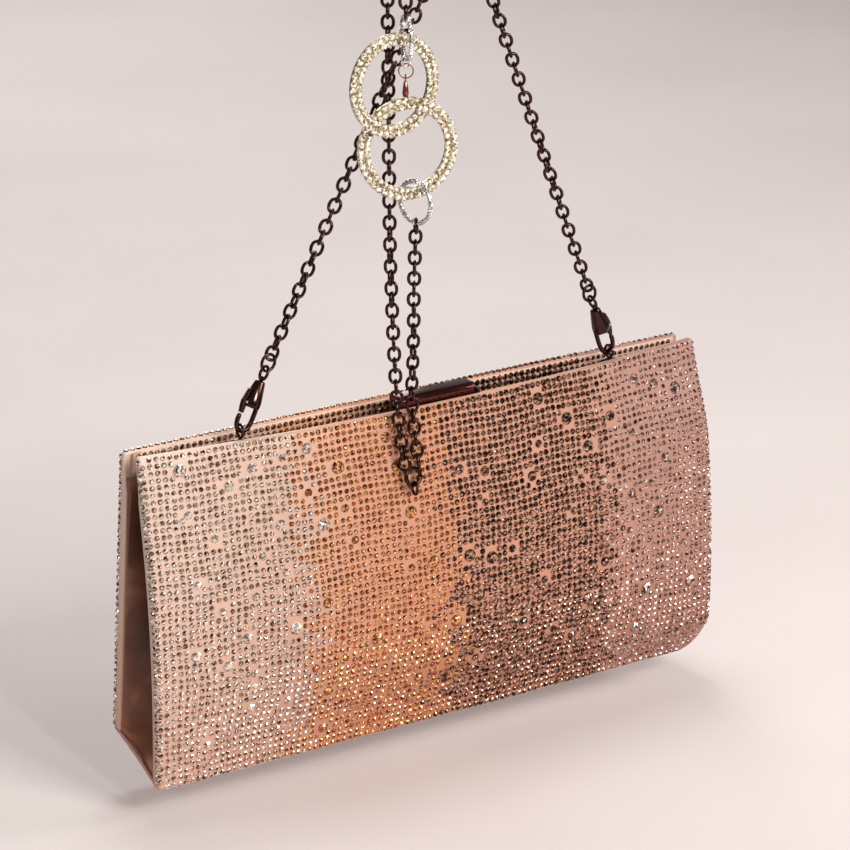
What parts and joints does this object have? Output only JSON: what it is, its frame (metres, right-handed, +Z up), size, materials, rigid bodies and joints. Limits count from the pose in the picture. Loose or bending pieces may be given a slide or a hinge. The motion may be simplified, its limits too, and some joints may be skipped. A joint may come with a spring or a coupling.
{
  "type": "evening clutch bag",
  "caption": "Slim rectangular evening clutch with bulging stiff panels, folded side gussets, a bar clasp and a chain strap on snap hooks that carries two linked crystal rings.",
  "frame": {"origin": "under the bights of the strap, where it is held", "axes": "+X to the bag's right along its length, +Y to its back, +Z up"},
  "size_m": [0.275, 0.0572, 0.3507],
  "materials": {
    "satin": "satin cloth set with small stones",
    "dark_satin": "satin cloth",
    "board": "grey board",
    "steel": "plain steel",
    "gunmetal": "polished dark plating",
    "chain": "polished dark plating",
    "crystal": "set with cut stones",
    "silver": "polished, set with small stones",
    "copper": "polished rose plating"
  },
  "bodies": {
    "strap": {"strap_left": "chain", "strap_right": "chain", "strap_loop": "chain", "loop_end_ring": "gunmetal", "loop_end_link": "gunmetal", "pave_ring_upper": "silver", "pave_ring_lower": "silver", "charm_link": "silver", "jump_ring": "copper", "charm_clasp": "copper", "hook_body_left": "gunmetal", "hook_body_right": "gunmetal", "gate_pin_left": "steel", "gate_pin_right": "steel", "swivel_loop_left": "gunmetal", "swivel_loop_right": "gunmetal", "end_ring_left": "gunmetal", "end_ring_right": "gunmetal"},
    "front_half": {"front_panel": "satin", "front_board": "board", "front_lining": "satin", "front_frame": "steel", "base_panel": "satin", "base_board": "board", "clasp_base": "gunmetal", "clasp_pin": "steel", "eye_left": "gunmetal", "eye_right": "gunmetal", "front_binding_left": "satin", "front_binding_right": "satin", "gusset_left_front": "dark_satin", "gusset_right_front": "dark_satin"},
    "back_half": {"back_panel": "satin", "back_board": "board", "back_lining": "satin", "back_frame": "steel", "back_band": "satin", "slip_pocket": "satin", "clasp_tongue": "steel", "back_binding_left": "satin", "back_binding_right": "satin", "gusset_left_back": "dark_satin", "gusset_right_back": "dark_satin"},
    "clasp": {"clasp_bar": "gunmetal", "clasp_magnet_left": "steel", "clasp_magnet_right": "steel"},
    "gate_left": {"gate_lever_left": "gunmetal"},
    "gate_right": {"gate_lever_right": "gunmetal"},
    "upper_ring": {"crystal_ring_upper": "crystal"},
    "lower_ring": {"crystal_ring_lower": "crystal"}
  },
  "joints": [
    {"name": "bag_swing", "type": "hinge", "parent": "strap", "child": "front_half", "pos_m": [0, 0.0077, -0.1933], "axis": [1, 0, 0], "range_deg": [0, 20]},
    {"name": "mouth_open", "type": "hinge", "parent": "front_half", "child": "back_half", "pos_m": [0, 0.0339, -0.3193], "axis": [-1, 0, 0], "range_deg": [0, 20]},
    {"name": "clasp_lift", "type": "hinge", "parent": "front_half", "child": "clasp", "pos_m": [0, 0.003, -0.1964], "axis": [1, 0, 0], "range_deg": [0, 35]},
    {"name": "gate_left_press", "type": "hinge", "parent": "strap", "child": "gate_left", "pos_m": [-0.08909, 0.0077, -0.18139], "axis": [0, 1, 0], "range_deg": [0, 10], "stiffness_Nm_per_rad": 0.01, "springref_deg": -5.73},
    {"name": "gate_right_press", "type": "hinge", "parent": "strap", "child": "gate_right", "pos_m": [0.09045, 0.0077, -0.18121], "axis": [0, -1, 0], "range_deg": [0, 10], "stiffness_Nm_per_rad": 0.01, "springref_deg": -5.73},
    {"name": "upper_ring_swing", "type": "hinge", "parent": "strap", "child": "upper_ring", "pos_m": [-0.0247, -0.012, -0.0402], "axis": [-1, 0, 0], "range_deg": [0, 8]},
    {"name": "lower_ring_swing", "type": "hinge", "parent": "upper_ring", "child": "lower_ring", "pos_m": [-0.028, -0.0123, -0.07125], "axis": [-1, 0, 0], "range_deg": [-16, 0]}
  ],
  "couplings": [
    {"joint": "lower_ring_swing", "follows": "upper_ring_swing", "ratio": -2}
  ]
}
